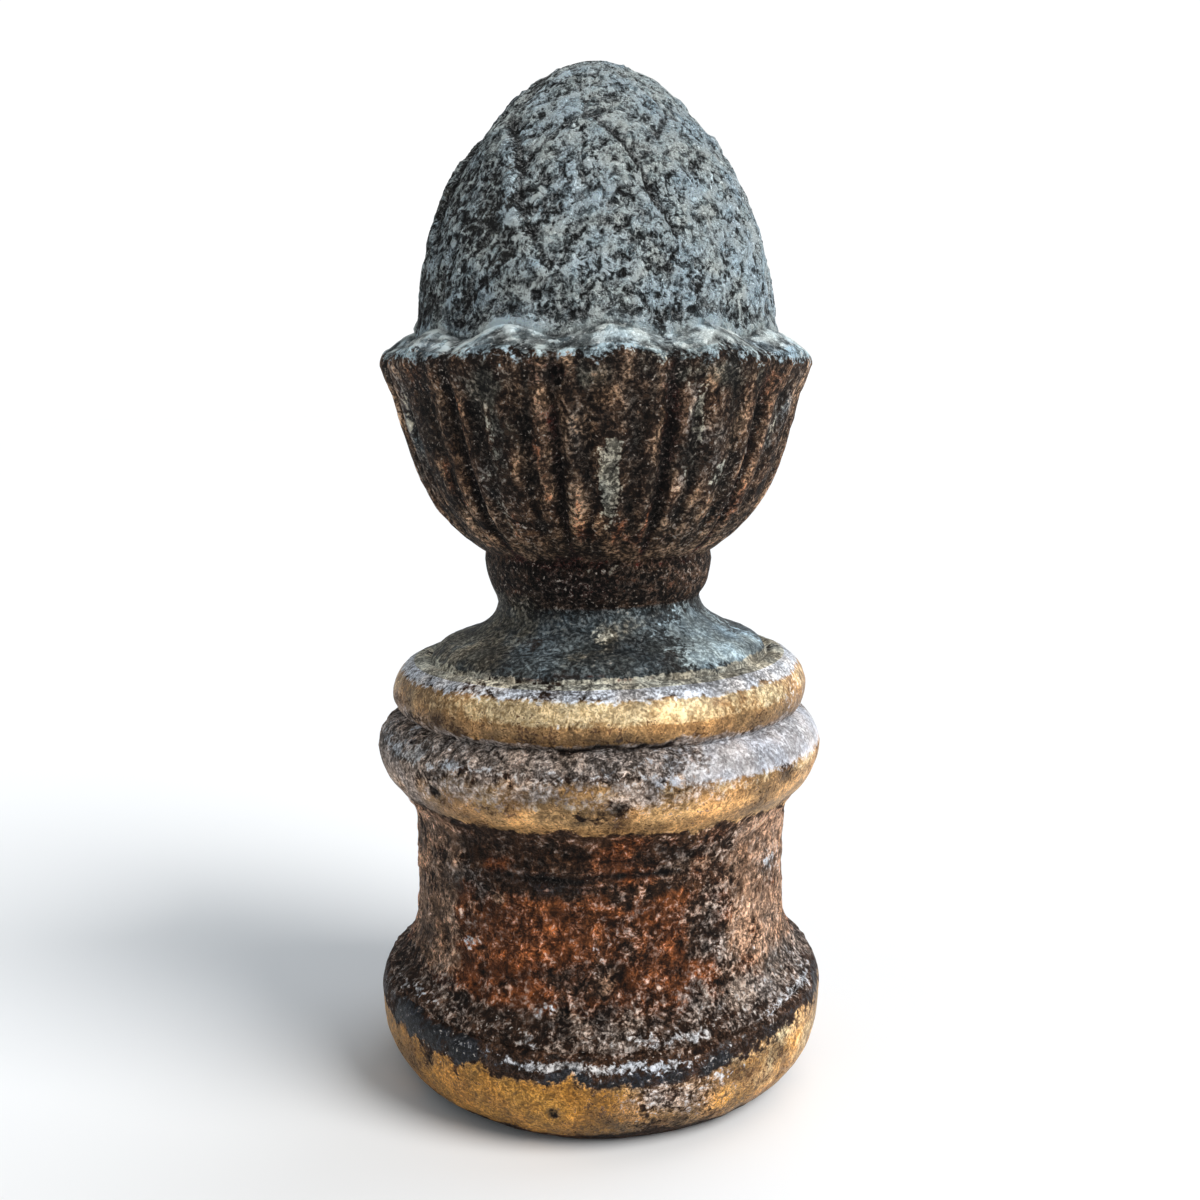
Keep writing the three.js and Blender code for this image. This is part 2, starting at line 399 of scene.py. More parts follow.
def petal_ring(foot, notch, tip, turn, step, depth, sunk_foot, sunk_tip):
    """How far a ring of petals stands out. A petal's half width is 1 - rise^petal point above its notches and
    spreads below them. Inside it the thickness grows from left to right, with a lip along the right edge."""
    rise = np.clip((HEIGHT - notch) / (tip - notch), -1, 1)
    width = np.where(rise > 0, 1 - np.abs(rise) ** PETAL_POINT, 1 - PETAL_SPREAD * rise)
    lift = depth * smooth(foot, notch, HEIGHT)
    sunk = sunk_foot + (sunk_tip - sunk_foot) * smooth(foot, tip, HEIGHT)
    tops = []
    for shift in (-2, 0, 2):
        across = across_part(PETALS, turn) + shift
        edge = np.where(across > 0, 0.075, 0.13)
        inside = smooth(-1, 1, (width - np.abs(across)) / edge) * (1 - smooth(0.9, 1.0, rise))
        lip = 0.22 * np.exp(-((width - across - 0.12) / 0.12) ** 2)
        vein = 0.12 * np.exp(-(across / 0.07) ** 2)
        tops.append(inside * (step + lift * (0.3 + 0.5 * across + lip - vein)) - step)
    return np.max(tops, 0) - sunk


def nut_carving():
    """The higher of the two rings at each place, dying out at the tip."""
    # foot, notch, tip, turn, step, depth, how far the foot and the tip are sunk
    lower = petal_ring(217, 241, 262.5, PETAL_TURN, 1.2, 1.9, -0.3, -0.2)
    upper = petal_ring(241, 261, 277, PETAL_TURN + 180 / PETALS, 0.6, 0.6, 1.5, 0.3)
    taper = np.clip(RADIUS / TIP_TAPER, 0, 1) ** 2
    return np.where(HEIGHT > NUT_BOTTOM, np.maximum(lower, np.where(HEIGHT > 241, upper, -9)) * taper, 0)


fillet = FILLET * np.exp(-((HEIGHT - NUT_BOTTOM - 0.4) / FILLET_SPREAD) ** 2)
carved = nut_carving() - np.where(HEIGHT > CUP_BOTTOM, cup_carving(), 0) + fillet
lifted = np.where(HEIGHT > CUP_BOTTOM, scallop(), 0)
print("carving from", carved.min().round(2), "to", carved.max().round(2), "mm")

# %% [markdown]
# ## Wear on the surface
# Old coats of paint have built up and broken away. On the nut they form a thick pitted crust, and lower down
# they leave shallow chips, cracks and dents. The larger lumps and chips belong in the mesh, because they show
# on the outline and catch the light. Grains under about two millimetres are left to the material's bump.
# Plates and flakes are patches of old paint with steep edges, streaks are drawn out upwards, and calm places
# have less grain.

# %% Wear on the surface
on_nut = smooth(NUT_BOTTOM - 1, NUT_BOTTOM + 5, HEIGHT)
on_cup = smooth(CUP_BOTTOM, CUP_BOTTOM + 6, HEIGHT) * (1 - on_nut)
on_foot = band(106, CUP_BOTTOM, 2)
on_drum = band(36, 84, 2)
on_slope = band(97, 106, 1.5)
tip_calm = smooth(0, 12, RADIUS)

PLATES = smooth(0.0, 0.12, rough(5.0, 31))
FLAKES = smooth(0.0, 0.14, rough(2.5, 35, 2))
STREAKS = rough(3.4, 231, 3, (1, 1, 0.2))
CALM = smooth(0.1, 0.5, rough(5.5, 261))
FOOT_TIP = 0.85
GROOVE_RISE = 3.0
# angle, height, half angle, half height, depth
CHIPS = [
    (-9, 197.8, 1.9, 2.8, 1.4), (4, 92, 1.8, 1.6, 0.9), (-5, 88, 2.2, 0.9, 0.5), (52, 94, 3, 1.8, 0.7),
    (-43, 92, 1.6, 1.3, 0.9), (-12, 12.4, 0.9, 0.9, 1.1), (-32, 63.5, 3.2, 1.3, -0.5),
    (3, 45, 3.5, 2.6, -0.4), (2, 57, 1.4, 6, 0.5), (-50, 63, 3.5, 2.2, 0.6), (14, 247, 3, 6, 0.9),
    (-47, 19, 1.2, 2.4, 0.4), (20, 66, 4.5, 1.6, 0.4), (-20, 70.5, 12, 0.7, 0.6), (8, 71.8, 10, 0.7, 0.6),
    (33, 75, 6, 1.2, -0.4),
]


def wear():
    """Height of the worn surface over the clean one: rough lumps scaled for each part, less the chips."""
    crust = 0.4 * rough(9.0, 11) + 0.14 * rough(3.0, 21, 2)
    scabs = 0.3 * PLATES + 0.32 * FLAKES
    soft = 0.3 * rough(16.0, 41)
    fine = 0.2 * rough(3.2, 51, 2)
    total = on_nut * (crust + scabs - 0.3)
    total += on_cup * (0.8 * soft + 0.7 * fine + 0.22 * STREAKS + 0.08 * FLAKES)
    total += (1 - on_nut - on_cup) * (0.8 * soft + 0.6 * fine)
    total += on_drum * (0.35 * smooth(0.05, 0.2, rough(9.0, 61)) + 0.22 * PLATES + 0.22 * FLAKES)
    total += on_slope * (1 - side(25, 95, 12)) * (0.8 * fine + 0.35 * FLAKES)
    total += band(27, 38, 2) * 0.25 * FLAKES
    for *place, depth in CHIPS:
        total -= depth * spot(*place)
    return total * tip_calm


worn = wear()
foot_tip = FOOT_TIP * np.sin(TURN) * band(107, 138, 3)
groove_rise = GROOVE_RISE * smooth(18, 80, np.abs(ANGLE)) * band(21, 33, 6)
print("wear from", worn.min().round(2), "to", worn.max().round(2), "mm")

# %% [markdown]
# ## The casting
# The carving moves each place straight out from the axis, and the wear moves it square to the outline. As on
# the real one, the foot tips a little to the right and the groove round the base rises a little towards the
# back. A lathed profile would have no carving, so every point is set here, as one closed skin with fans of
# triangles at the tip and under the base. The underside stays flat, because the finial stands on it.

# %% The casting
UNDERSIDE_RINGS = (44.0, 36.0, 20.0, 6.0)
TIP_CRUST = 0.2


def casting_points():
    """All rows from the middle of the underside to just under the tip, in millimetres."""
    out = RADIUS + carved + worn * OUTWARD[:, :1]
    up = HEIGHT + lifted + foot_tip + groove_rise + worn * OUTWARD[:, 1:]
    up[0] = 0.0
    out[0] = UNDERSIDE_RADIUS
    up = np.maximum(up, 0.0)
    skin = np.stack([out * np.sin(TURN), -out * np.cos(TURN), up], -1)
    circle = np.stack([np.sin(TURN[0]), -np.cos(TURN[0]), 0 * TURN[0]], -1)
    under = [radius * circle for radius in reversed(UNDERSIDE_RINGS)]
    return np.vstack([np.stack(under), skin])


def closed_skin(name, rings, bottom, top):
    """A mesh of quads between neighbouring rings, with fans to the bottom and the top point."""
    count, columns = rings.shape[:2]
    points = np.vstack([rings.reshape(-1, 3), [bottom, top]]) * MM
    index = np.arange(count * columns).reshape(count, columns)
    ahead = np.roll(index, -1, 1)
    quads = np.stack([index[:-1], ahead[:-1], ahead[1:], index[1:]], -1).reshape(-1, 4)
    low = np.stack([ahead[0], index[0], np.full(columns, count * columns)], -1)
    high = np.stack([index[-1], ahead[-1], np.full(columns, count * columns + 1)], -1)
    mesh = bpy.data.meshes.new(name)
    mesh.from_pydata(points.tolist(), [], quads.tolist() + low.tolist() + high.tolist())
    mesh.shade_smooth()
    return mesh


rings = casting_points()
casting_mesh = closed_skin("casting", rings, (0, 0, 0), (0, 0, TOTAL_HEIGHT + TIP_CRUST))
casting = show("casting", casting_mesh)
print("casting has", len(casting_mesh.polygons), "faces and", len(rings), "rings")

# %% [markdown]
# ## Where each coat of paint is left
# Worn paint is best held as a cover: a number from 0, all gone, to 1, whole, at each point of the mesh. The
# material breaks its edge up with fine noise. A picture painted by hand would tie the finish to an image.
# Strips and marks placed by angle and height say the same in a few words, and both are read at places that
# wander a little, so no edge is straight or round.

# %% Covers of the coats
drift = rough(22.0, 71)
blotch = rough(9.0, 81)
WANDER_ANGLE = ANGLE + 2.6 * rough(9.0, 201) * 50 / np.maximum(RADIUS, 20)
WANDER_HEIGHT = HEIGHT + 1.5 * rough(8.0, 211) + 0.8 * rough(2.6, 221, 2)
lobe = across_part(LOBES, LOBE_TURN)
valley = np.exp(-((1 - np.abs(lobe)) / 0.11) ** 2)
rib = np.exp(-((np.abs(lobe) - 0.77) / 0.14) ** 2)
coats = {}


def strip(low, high, soft=1.0):
    """A band between two heights whose edges wander."""
    return band(low, high, soft, WANDER_HEIGHT)


def sector(left, right, soft=8.0):
    """1 between two angles, with edges that wander."""
    return side(left, right, soft, WANDER_ANGLE)


def marks(rows):
    """The sum of round marks at wandering places. Each row gives angle, height, half angle, half height and
    the strength in hundredths."""
    return sum(strength / 100 * spot(*place, WANDER_ANGLE, WANDER_HEIGHT) for *place, strength in rows)


def keep(name, value):
    """Stores a field for the whole mesh, with the nearest value at the underside and the tip."""
    under = np.repeat(value[:1], len(UNDERSIDE_RINGS), 0)
    coats[name] = np.hstack([np.vstack([under, value]).ravel(), value[0, :1], value[-1, :1]])


def cover(name, value, uneven=0.5, stretch=(1, 1, 1)):
    """Stores a coat's cover, thinned and thickened by lumps of about six millimetres."""
    seed = 300 + 10 * len(coats)
    keep(name, np.clip(value * (1 + uneven * rough(6.0, seed, 3, stretch)), 0, 1))


print("wandering by up to", np.abs(WANDER_HEIGHT - HEIGHT).max().round(1), "mm")

# %% [markdown]
# ### Base
# Gold lies on the three rings, orange-brown on the lowest. A paler gold coat where the upper two face the
# light, and on the right of the lowest, is a painted highlight, and a smooth lavender-white coat on the right
# of the middle ring's upper slope is a painted reflection of the sky. The gold breaks off in a jagged line
# where the dark groove begins. The drum is a broken brick red with brown showing through, a darker band over
# it, and orange and tan on its right side. The pale tan on both sides of the drum is partly painted light.

# %% Covers of the base
left = sector(-110, -52, 10)
back = sector(110, 235, 25)
gold = strip(3.5, 21, 1.6) * (1 - 0.4 * sector(4, 30)) + 0.5 * strip(19, 25, 1.2) * sector(34, 90, 10)
gold += strip(84, 99) * (1 - 0.4 * sector(-95, -48, 10)) + 1.1 * band(106.6, 118.4, 0.7)
gold += 0.55 * strip(98, 102, 1.2) * sector(15, 80, 14)
gold -= marks([
    (-47, 19, 2.2, 4.5, 80), (-37, 20, 1.8, 3.5, 70), (-25, 21, 3, 2, 50), (4, 93, 3.5, 2.6, 70),
    (0, 89, 9, 2, 30), (52, 95, 5, 2.4, 80), (-43, 92, 2.6, 2.2, 80), (-12, 12.4, 0.9, 0.9, 120),
    (-5, 88.6, 2.6, 0.8, 70), (20, 95, 14, 3, 35), (-40, 97, 25, 3, 50), (-62, 109, 16, 2.4, 70),
    (-8, 113, 4, 0.8, 50), (18, 17, 12, 5, 25), (8, 98, 18, 2, 30),
])
cover("gold", gold, 0.3)
# painted reflection: a smooth lavender-white coat on the right of the middle ring's upper slope stands for
# the sky mirrored in glossy paint
painted_sky_reflection = 0.95 * band(97.8, 106, 1.3) * sector(22, 95, 20) + 0.35 * band(96, 100, 2) * sector(10, 95, 14)
cover("painted_sky_reflection", painted_sky_reflection, 0.15)
cover("amber", gold * band(0, 40, 2) * (1 - 0.5 * sector(0, 95, 15)), 0.3)
# painted highlight: a pale gold coat where the upper rings face the light and on the right of the lowest ring
painted_gold_highlight = band(112, 118) * (0.35 + 0.5 * sector(-30, 56, 16))
painted_gold_highlight += 0.4 * strip(94, 100, 1.6) * sector(5, 80, 12)
painted_gold_highlight += 0.3 * strip(90, 97, 2) * sector(-45, 10, 12) + 0.45 * strip(10, 24, 3) * sector(32, 90, 12)
cover("painted_highlight_gold", painted_gold_highlight, 0.5)
brick = 0.84 * sector(-51, 34, 15) + 0.5 * left + 0.5 * back
brick = strip(36, 66, 2.2) * (brick + 0.25 * sector(30, 46) + 0.5 * sector(45, 95, 10))
brick += 0.12 * strip(66, 84, 2) + 0.6 * blotch * strip(38, 82, 3) + marks([
    (-31, 73.5, 5, 2.2, 80), (-5, 61, 16, 4, 35), (8, 57, 6, 7, 30), (10, 44, 12, 4, 35),
    (-30, 46, 14, 6, 20), (32, 73, 12, 3, 30), (17, 61, 6, 3, 30), (-55, 45, 10, 5, 30), (50, 60, 14, 7, 25),
    (3, 45, 4.5, 3.2, -90), (1, 56, 1.6, 6, -70), (-48, 67, 9, 5, -60), (34, 62, 9, 6, -40),
    (36, 47, 10, 5, -40), (-22, 57, 8, 3, -25), (-18, 42, 3, 4, -40), (24, 50, 6, 4, -30),
])
brick += (0.15 * (PLATES - 0.5) + 0.3 * (CALM - 0.3)) * strip(38, 68, 3) * sector(-50, 34)
cover("brick", brick, 0.5)
# partly painted light: the pale tan on the right and left sides of the drum also stands for the grazing light
# there
tan = 0.85 * sector(44, 95) + 0.85 * sector(-110, -46) + 0.35 * back + 0.16 * sector(20, 45)
tan = tan * strip(38, 84, 3) + marks([
    (-32, 63.5, 3.2, 1.4, 100), (30, 74, 14, 2.2, 50), (3, 45, 4, 2.8, 75), (46, 68, 10, 8, 25),
    (55, 52, 14, 8, 25), (-42, 58, 8, 3, 30), (-47, 51, 8, 2, 40), (-10, 36, 12, 1.6, 40),
    (-60, 70, 12, 6, 20),
])
cover("tan", tan, 0.7)
navy = strip(21, 27.6, 0.9) * (0.35 + 0.55 * sector(-62, -30, 6) + 0.12 * sector(38, 90)) + marks([
    (0, 21.5, 14, 2.4, 50), (30, 23, 8, 2, 40), (60, 31, 22, 1.5, 40), (-48, 68, 10, 5, 50),
    (38, 47, 8, 5, 30), (-20, 36, 30, 2, 20), (20, 67, 12, 4, 25), (-15, 69, 22, 2.6, 50),
    (18, 17, 12, 5, 30),
])
cover("navy", navy, 0.4)
grime = strip(27.5, 40, 2) * (0.3 + 0.08 * sector(-5, 90, 15)) + strip(100.5, 107, 0.9) * 0.95
grime += 0.4 * strip(97, 101, 0.9) + 0.3 * left * strip(84, 104, 3)
grime += 0.5 * strip(84, 104, 2) * sector(-95, -44, 12)
grime += 0.2 * strip(40, 84, 2) + marks([
    (34, 58, 8, 10, 20), (36, 46, 10, 5, 12), (-48, 66, 9, 4, 35), (18, 16, 16, 6, 50), (60, 36, 26, 4, 30),
    (62, 66, 6, 4, 25), (28, 77, 14, 3, 20), (-35, 93, 14, 4, 30), (10, 95, 18, 2.5, 35),
    (-62, 109, 16, 2.4, 60), (60, 112, 12, 5, 25), (-70, 20, 14, 8, 15), (4, 107, 50, 1, 40),
    (8, 93, 22, 4, 30), (-20, 95, 20, 3, 35), (30, 96, 14, 2.5, 25),
])
cover("grime", grime, 0.45)
specks = 0.32 * strip(3, 22, 2) * (1 - 0.5 * sector(-45, -8)) + 0.3 * strip(84, 99, 2)
specks += 0.36 * band(106, 112.5, 1.5) + 0.14 * band(112, 119, 1.5)
cover("specks", specks, 0.9)
print("base has", len(coats), "coats")

# %% [markdown]
# ### Cup, neck and foot
# Under the worn paint these are brown-black. Streaks run down the cup, rust and ochre on its ribs and bluish
# between them, with a few pale and orange patches. The foot is slate blue, olive on its left and pale on its
# right, where the pale is partly painted light.

# %% Covers of the cup, neck and foot
cup_zone = band(150, 204, 2)
streak = 0.5 + 0.75 * STREAKS
rust = cup_zone * (0.2 + 0.06 * rib + 0.6 * (streak - 0.5)) + marks([
    (-19, 180, 2.4, 18, 35), (15, 180, 2.2, 20, 35), (-8, 172, 3, 12, 25), (48, 158, 22, 6, 75),
    (28, 157, 14, 4, 60), (-5, 158, 12, 4, 50), (50, 182, 3, 16, 25), (42, 172, 3, 10, 25),
    (-48, 180, 8, 14, 30), (-55, 160, 18, 6, 40), (0, 153, 70, 3, 45), (20, 176, 3, 3, 60),
    (-30, 153, 20, 4, 30), (-45, 141, 16, 5, 30), (10, 137, 40, 2, 20),
])
cover("rust", rust, 0.5, (1, 1, 0.5))
ember = 0.07 * cup_zone * smooth(0.7, 1.0, streak) + marks([
    (18, 186, 1.4, 12, 70), (-13, 199, 3, 4, 30), (-3, 158, 3.6, 2.4, 75), (-7, 165, 1.8, 5, 25),
    (17.5, 163, 1.4, 10, 60), (51, 195, 5, 5, 40), (48, 162, 12, 5, 40), (-50, 198, 5, 5, 35),
    (51, 176, 2.5, 14, 20), (-15, 180, 1.2, 16, 35), (-50, 172, 2.4, 14, 35), (8, 160, 3, 4, 50),
    (-41, 190, 2, 10, 35), (28, 157, 6, 2.4, 45), (14, 156, 4, 3, 40), (-30, 160, 2, 4, 40),
    (-50, 142, 12, 5, 30), (40, 145, 8, 3, 20),
])
cover("ember", ember, 0.5, (1, 1, 0.4))
slate = band(120.6, 136.5) * (0.85 + 0.2 * drift)
slate += 0.18 * cup_zone * smooth(0.4, 0.9, streak) * strip(165, 204, 8) + marks([
    (-64, 185, 7, 16, 60), (-26, 182, 3, 16, 40), (8, 185, 3, 14, 40), (24, 182, 3, 14, 40),
    (62, 186, 6, 12, 40), (33, 180, 6, 12, 35), (-34, 172, 4, 14, 45), (-5, 183, 3, 8, 35),
    (58, 127, 26, 7, 50), (-20, 198, 20, 3, 30),
])
cover("slate", slate, 0.4)
olive = band(121, 140, 1.5) * (0.75 * sector(-100, -36, 10) + 0.4 * back) + marks([
    (-22, 134, 12, 3, 40), (3, 129, 7, 5, 60), (-8, 126, 5, 2, 35), (16, 131, 8, 2, 30),
    (30, 197, 12, 3.5, 75), (0, 198, 9, 4, 60), (-30, 188, 6, 8, 30), (35, 170, 4, 5, 50),
    (30, 135, 12, 2, 40), (-28, 196, 9, 4, 60),
]) + 0.25 * cup_zone * smooth(0.5, 0.9, 1 - streak)
cover("olive", olive, 0.5)
print("now", len(coats), "coats")

# %% [markdown]
# ### Pale coats, and dirt with painted shade
# Chalky blue-white and grey-green paint is left on the nut and on the ledge of the cup, thickest on the upper
# right, where it is laid on thicker partly as painted light. Further down it shows as flecks in the hollows
# and as a chalk line where the foot meets the gold ring. A dark coat lies in the creases, in the valleys of
# the cup
# and round the bottom edge: it is dirt and painted shade, with a few dark cracks and chips.

# %% Covers of the pale coats and of the dirt and painted shade
# painted light: 1 at the front right, towards the window light, and 0 at the back left
painted_light_side = 0.5 + 0.5 * np.sin(np.radians(ANGLE + 60))
# the pale coat on the nut is laid thicker higher up, and on the upper right as painted light
pale = 0.46 + 0.17 * smooth(225, 262, HEIGHT) + 0.6 * (painted_light_side - 0.5) + 0.06 * drift + 0.06 * blotch
pale += 0.05 * (CALM - 0.3) + 0.26 * (PLATES - 0.5) + 0.24 * (FLAKES - 0.5)
pale *= on_nut
pale -= on_nut * 0.1 * (1 - smooth(209.5, 217, WANDER_HEIGHT))
pale += on_nut * marks([
    (-15, 264, 10, 5, 20), (8, 262, 14, 4, 30), (30, 253, 10, 5, 30), (40, 262, 16, 6, 20),
    (0, 243, 4, 6, 20), (37, 237, 8, 6, 30), (-12, 254, 6, 3, 25), (-52, 222, 20, 14, -8),
    (-35, 247, 8, 5, -20), (15, 249, 3.5, 6, -40), (-27, 260, 6, 4, -30), (55, 228, 10, 8, 25),
    (-18, 219, 16, 3, 20), (20, 250, 1.5, 4, 60), (-45, 261, 5, 4, 30), (-40, 254, 6, 2, 25),
    (22, 222, 18, 8, -5), (0, 214, 30, 3, -6), (-14, 232, 5, 3, 20), (5, 232, 4, 5, 20), (-60, 222, 3, 5, 20),
    (65, 240, 10, 10, 15), (-30, 232, 10, 6, -10), (18, 262, 5, 3, -25), (-5, 258, 6, 3, -25),
])
ledge_top = 211.8 + 2.2 * np.cos(np.pi * lobe)
ledge = smooth(199.8, 206.4, WANDER_HEIGHT) * (1 - smooth(-3.0, 4.0, WANDER_HEIGHT - ledge_top))
# the pale strip on the right of the rim and the pale marks on the right of the foot are partly painted light
pale += ledge * (1.15 - 0.6 * valley) + 0.25 * band(199, 203, 1.5) * sector(20, 85, 10) + marks([
    (60, 127, 24, 7, 110), (36, 129, 6, 3, 35), (44, 124, 16, 2.4, 40), (38, 207, 10, 4, 30),
    (-30, 124, 12, 2, 15),
])
cover("pale", pale, 0.25)
chalk = band(117.4, 121.8, 0.9) * (0.72 + 0.3 * sector(15, 95, 15))
# partly painted light: the extra chalk on the right of the middle ring's upper slope is partly a painted
# reflection, and the mark at -2 degrees and 25.3 mm along the glossy groove is partly a painted highlight
chalk += strip(98.5, 106.3) * (0.1 + 0.2 * sector(28, 95, 12)) + marks([
    (-38, 99.5, 30, 1.8, 35), (-62, 101, 14, 3, 40), (5, 100.5, 16, 2.2, 25), (18, 31.5, 18, 2, 45),
    (-2, 25.3, 24, 1.3, 85), (30, 35, 8, 2, 25), (-18, 31, 6, 2, 35), (-62, 31, 16, 1.6, 50),
    (62, 30.5, 18, 2, 50), (60, 36, 24, 4, 25), (16, 15, 14, 5, 22), (30, 20, 10, 4, 30), (46, 46, 10, 5, 15),
    (62, 66, 6, 3, 40), (-45, 50, 6, 2, 30), (0, 50, 3, 5, 30), (-16, 38, 3, 2, 30), (-5, 37, 8, 1.2, 35),
    (70, 112, 12, 8, 25), (8, 114, 30, 2, 10), (26, 182, 1.6, 12, 50), (37, 172, 3.2, 3.5, 50),
    (-34, 167, 2.4, 8, 45), (-29, 184, 1.4, 8, 35), (60, 185, 2, 12, 35), (-64, 185, 3, 12, 35),
    (0, 130, 3, 4, 45), (-5, 148.2, 50, 0.8, 35), (5, 131, 2, 1.5, 40), (14, 202, 6, 1.5, 50),
    (25, 194, 2, 6, 35), (-45, 125, 18, 3, 15), (-8, 113, 2.4, 0.7, 80),
])
chalk += 1.4 * spot(3.3, 170, 2.8, 8.5) + 0.35 * spot(4.5, 180, 2.0, 3)
cover("chalk", chalk, 0.5)
# dirt and painted shade: the dark coat in the valleys of the cup, in the creases, under the cup and round the
# bottom edge stands partly for shade, with dark cracks and chips
dirt_and_painted_shade = valley * cup_zone * (0.62 - 0.25 * smooth(190, 203, HEIGHT)) + band(136, 149.5, 1.5) * 0.12 + marks([
    (-9, 197.8, 1.7, 2.6, 110), (-14, 190, 2, 12, 30), (19.5, 186, 1.6, 14, 35), (0, 149.6, 90, 0.8, 50),
    (5, 106.3, 40, 0.7, 80), (-20, 143, 45, 6, 30), (-15, 71.5, 14, 0.6, 90), (10, 72.5, 16, 0.6, 80),
    (-40, 75, 16, 0.7, 50), (20, 78.5, 24, 0.7, 50), (0, 27.2, 40, 0.6, 60), (-15, 68, 26, 4, 30),
    (4, 92, 2, 1.2, 60), (-43, 92, 1.6, 1.2, 70), (-12, 12.4, 0.8, 0.8, 90), (-57, 103, 12, 0.8, 50),
    (0, 3, 180, 2.5, 60), (-48, 62, 8, 2, 40), (5, 108.6, 50, 1.6, 35), (-15, 121.6, 40, 0.5, 50),
    (-65, 126, 3, 3, 40),
])
cover("dirt_and_painted_shade", dirt_and_painted_shade, 0.6)
print("now", len(coats), "coats")

# %% [markdown]
# ### Fields for the grain
# Besides its coats, every place has five plain numbers: how thick its crust is, how strong its grain is, how
# thickly pale flecks lie there, a slow drift from warm to cool, and its tone. The tone holds painted light
# and
# shade: it is lighter on ridges and small edges, on the humps of the ledge and on the upper right of the nut,
# and darker in hollows, under the cup and towards the bottom, besides random blotches.

# %% Fields for the grain
def softened(values, rounds):
    """Each place takes the mean of itself and its four neighbours, many times over, as heat spreads."""
    for _ in range(rounds):
        padded = np.vstack([values[:1], values, values[-1:]])
        beside = np.roll(values, 1, 1) + np.roll(values, -1, 1)
        values = (2 * values + padded[:-2] + padded[2:] + beside) / 6
    return values


relief = carved + worn
layers = rough(5.0, 251, 3, (0.25, 0.25, 1.5))
ridge = np.clip((relief - softened(relief, 20)) / 0.9, -1, 1)
edges = np.clip((relief - softened(relief, 3)) / 0.25, -1, 1)
smooth_gold = np.clip(gold, 0, 1) * (1 - 0.5 * sector(0, 40, 10) * band(0, 28, 2))
on_neck = band(CUP_BOTTOM - 14, CUP_BOTTOM, 1.5)
on_ledge = band(203.5, 209.5, 1.2)
crust = 0.5 + 0.75 * on_nut + 0.5 * on_cup - 0.22 * on_foot + 0.6 * on_neck + 0.5 * on_drum - 0.75 * on_ledge
crust += on_slope * (0.8 - 0.8 * sector(25, 95, 12)) + 0.3 * band(27, 40, 3) - 0.4 * smooth_gold
keep("crust", np.clip(crust, 0.1, 1.4))
grit = 1 + 0.1 * on_nut - 0.45 * smooth_gold - 0.75 * on_ledge + 0.4 * on_neck
grit -= 0.4 * band(120, 135, 2) * (1 + 0.5 * sector(34, 95, 12))
grit -= 0.45 * band(97, 106, 2) * sector(22, 95, 14)
grit *= 1 - CALM * (0.25 * on_nut + 0.5 * on_drum + 0.5 * band(27, 38, 2))
keep("grit", np.clip(grit, 0.25, 1.5))
flecks = 0.32 + 0.3 * drift - 0.25 * smooth_gold - 0.1 * on_nut + 0.35 * on_cup - 0.2 * on_drum
flecks += 0.08 * band(27, 38, 3) + (0.45 + 0.5 * blotch) * on_neck - 0.1 * on_foot
keep("flecks", np.clip(flecks, 0, 1.5))
hue = 0.5 + 0.8 * rough(7.0, 241) - 0.25 * sector(-95, -20, 25) * on_nut - 0.3 * on_ledge
keep("hue", np.clip(hue, 0, 1))
# painted shade and light: darker in the hollows of the relief, lighter on its ridges and small edges
tone = np.where(ridge > 0, 0.5 - 0.22 * on_nut - 0.28 * on_cup, 0.5 + 0.2 * on_nut - 0.1 * on_cup)
tone = tone * ridge + 0.16 * edges + 0.12 * blotch + 0.1 * drift + 0.16 * blotch * band(120, 136, 2)
tone += 0.5 * on_cup * (streak - 0.5) + 0.14 * layers * band(40, 105, 3)
tone += (0.03 * on_nut + 0.05 * on_drum) * (CALM - 0.3)
# painted light on the humps of the ledge and on its right side
tone += on_ledge * (0.03 * np.cos(np.pi * lobe) + 0.06 + 0.04 * painted_light_side)
# these marks are partly painted light and shade: darker under the cup, at the bottom and in creases, lighter
# on the right of the drum, cup and nut, darker on the left of the nut
tone += marks([
    (0, 75, 44, 6, -16), (-48, 66, 10, 6, -12), (30, 48, 14, 8, -5), (0, 33, 60, 4, -8), (-6, 60, 14, 5, 8),
    (8, 56, 7, 7, 8), (65, 60, 25, 30, 10), (0, 109, 60, 2, -10), (20, 115, 34, 2.5, 10),
    (-60, 112, 25, 8, -5), (0, 90, 90, 6, 7), (-60, 97, 20, 10, 7), (22, 115, 30, 3, -3),
    (-60, 206, 12, 4, -12), (40, 207, 9, 4, 10), (-25, 143, 60, 7, -34), (-60, 230, 34, 30, -9),
    (60, 235, 34, 40, 14), (8, 264, 40, 12, 8), (60, 142, 20, 7, 5), (65, 176, 15, 25, 8),
    (0, 199, 40, 4, -8), (0, 6, 90, 3, -12), (60, 127, 25, 8, -16), (12, 125, 22, 4, -10),
    (-30, 131, 20, 3, 6), (22, 14, 14, 7, 7), (42, 12, 12, 10, 10), (-20, 176, 10, 26, -5),
    (40, 207, 40, 3, 10), (-5, 126, 25, 6, -6),
])
# painted light: the right side of the nut is made lighter, and its tone may rise higher there
painted_bright_side = 0.12 * sector(32, 95, 20)
tone += on_nut * (0.06 + 0.2 * edges + 0.2 * painted_light_side + painted_bright_side)
nut_limit = 0.14 + 0.25 * painted_light_side + painted_bright_side
keep("tone", np.where(on_nut > 0.5, np.minimum(tone, nut_limit), tone))
print("and", len(coats), "fields in all, with ridges up to", ridge.max().round(2))

# %% Store the covers on the mesh
for name, value in coats.items():
    layer = casting_mesh.attributes.new(name, "FLOAT", "POINT")
    layer.data.foreach_set("value", value.astype(np.float32))
print("stored", ", ".join(coats))

